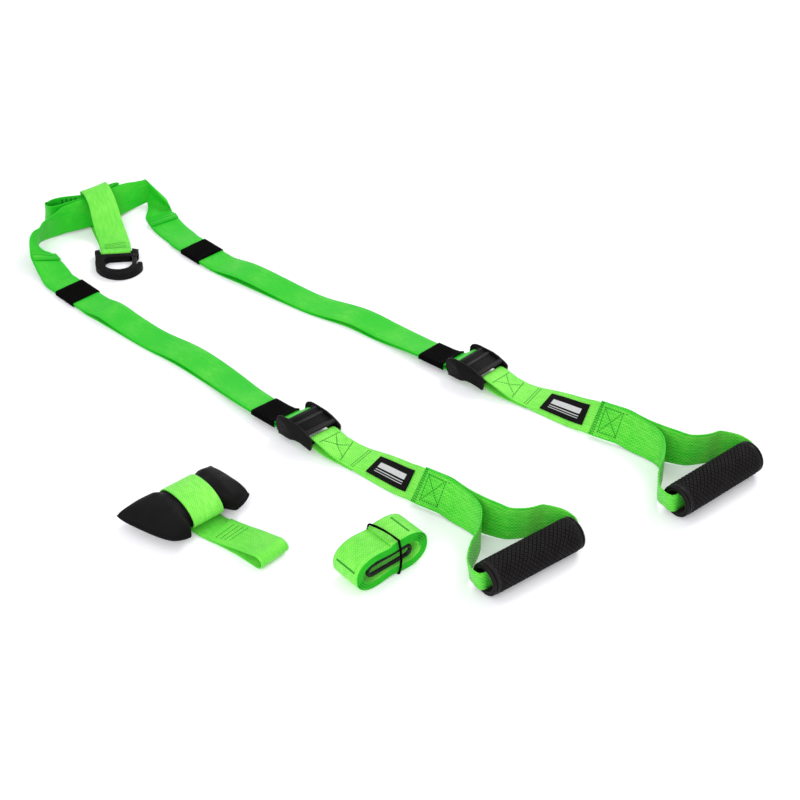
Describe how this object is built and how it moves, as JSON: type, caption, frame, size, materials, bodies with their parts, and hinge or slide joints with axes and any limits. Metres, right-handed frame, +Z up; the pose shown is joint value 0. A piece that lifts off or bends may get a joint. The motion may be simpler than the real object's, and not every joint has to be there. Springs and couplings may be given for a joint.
{
  "type": "suspension trainer",
  "caption": "Webbing suspension trainer laid out flat: snap hook, strap arms with cam buckles and rubber grips, door anchor pad and rolled extension strap.",
  "frame": {"origin": "on the floor, under the middle of the whole spread", "axes": "+Z up, +X along the longer side of the spread, to the viewer's right, +Y away from the viewer"},
  "size_m": [0.8518, 0.786, 0.0452],
  "materials": {
    "webbing": "woven",
    "handle_webbing": "coarse woven",
    "keeper_elastic": "matte",
    "moulded_plastic": "fine grain",
    "blackened_steel": "blackened",
    "grip_rubber": "knurled",
    "label_cloth": "matte",
    "pad_cloth": "smooth woven"
  },
  "bodies": {
    "base": {"left_load_webbing": "webbing", "bridge_webbing": "webbing", "right_load_webbing": "webbing", "equalizer_loop": "webbing", "hook_webbing": "webbing", "left_tail_webbing": "webbing", "left_buckle_frame": "moulded_plastic", "left_lock_bar": "blackened_steel", "left_cam_pin": "blackened_steel", "left_cam_spring": "blackened_steel", "left_yoke_webbing": "webbing", "left_label": "label_cloth", "left_handle_webbing": "handle_webbing", "right_tail_webbing": "webbing", "right_buckle_frame": "moulded_plastic", "right_lock_bar": "blackened_steel", "right_cam_pin": "blackened_steel", "right_cam_spring": "blackened_steel", "right_yoke_webbing": "webbing", "right_label": "label_cloth", "right_handle_webbing": "handle_webbing"},
    "hook": {"hook_body": "moulded_plastic", "hook_gate_pin": "blackened_steel", "hook_gate_spring": "blackened_steel"},
    "hook_gate": {"hook_gate": "moulded_plastic"},
    "left_cam_lever": {"left_cam_lever": "moulded_plastic"},
    "left_grip": {"left_grip_core": "moulded_plastic", "left_grip_sleeve": "grip_rubber", "left_near_cap": "moulded_plastic", "left_far_cap": "moulded_plastic"},
    "left_upper_keeper": {"left_upper_keeper": "keeper_elastic"},
    "left_lower_keeper": {"left_lower_keeper": "keeper_elastic"},
    "right_cam_lever": {"right_cam_lever": "moulded_plastic"},
    "right_grip": {"right_grip_core": "moulded_plastic", "right_grip_sleeve": "grip_rubber", "right_near_cap": "moulded_plastic", "right_far_cap": "moulded_plastic"},
    "right_upper_keeper": {"right_upper_keeper": "keeper_elastic"},
    "right_lower_keeper": {"right_lower_keeper": "keeper_elastic"},
    "door_anchor": {"anchor_pad": "pad_cloth", "anchor_wrap": "webbing", "anchor_tail": "webbing"},
    "rolled_strap": {"rolled_strap": "webbing", "elastic_band": "keeper_elastic", "carabiner_body": "blackened_steel", "carabiner_gate_pin": "blackened_steel"},
    "carabiner_gate": {"carabiner_gate": "blackened_steel"}
  },
  "joints": [
    {"name": "hook_swing", "type": "hinge", "parent": "base", "child": "hook", "pos_m": [-0.32072, 0.24176, 0.005], "axis": [-0.9945, -0.1045, 0], "range_deg": [0, 65]},
    {"name": "hook_gate_swing", "type": "hinge", "parent": "hook", "child": "hook_gate", "pos_m": [-0.29619, 0.23328, 0], "axis": [0, 0, -1], "range_deg": [0, 26], "stiffness_Nm_per_rad": 0.012, "springref_deg": -14.32},
    {"name": "left_cam_lift", "type": "hinge", "parent": "base", "child": "left_cam_lever", "pos_m": [-0.07249, -0.11587, 0.01553], "axis": [-0.6634, -0.7368, 0.1305], "range_deg": [0, 35], "stiffness_Nm_per_rad": 0.04, "springref_deg": -20.05},
    {"name": "left_grip_spin", "type": "hinge", "parent": "base", "child": "left_grip", "pos_m": [0.16873, -0.34364, 0.0188], "axis": [0.7986, 0.6018, 0], "continuous": true},
    {"name": "left_upper_keeper_slide", "type": "slide", "parent": "base", "child": "left_upper_keeper", "axis": [0.6934, -0.7206, 0], "range_m": [-0.004, 0.004]},
    {"name": "left_lower_keeper_slide", "type": "slide", "parent": "base", "child": "left_lower_keeper", "axis": [-0.7431, 0.6691, 0], "range_m": [0, 0.004]},
    {"name": "right_cam_lift", "type": "hinge", "parent": "base", "child": "right_cam_lever", "pos_m": [0.11577, -0.00552, 0.01514], "axis": [-0.6253, -0.7722, 0.1132], "range_deg": [0, 35], "stiffness_Nm_per_rad": 0.04, "springref_deg": -20.05},
    {"name": "right_grip_spin", "type": "hinge", "parent": "base", "child": "right_grip", "pos_m": [0.36967, -0.22268, 0.0188], "axis": [0.766, 0.6428, 0], "continuous": true},
    {"name": "right_upper_keeper_slide", "type": "slide", "parent": "base", "child": "right_upper_keeper", "axis": [0.6934, -0.7206, 0], "range_m": [-0.004, 0.004]},
    {"name": "right_lower_keeper_slide", "type": "slide", "parent": "base", "child": "right_lower_keeper", "axis": [-0.7771, 0.6293, 0], "range_m": [0, 0.004]},
    {"name": "door_anchor_lift", "type": "slide", "parent": "base", "child": "door_anchor", "axis": [0, 0, 1], "range_m": [0, 0.2]},
    {"name": "rolled_strap_lift", "type": "slide", "parent": "base", "child": "rolled_strap", "axis": [0, 0, 1], "range_m": [0, 0.2]},
    {"name": "carabiner_gate_swing", "type": "hinge", "parent": "rolled_strap", "child": "carabiner_gate", "pos_m": [0.04142, -0.33888, 0.02516], "axis": [0.6561, -0.7547, 0], "range_deg": [0, 12], "stiffness_Nm_per_rad": 0.01, "springref_deg": -14.32}
  ]
}
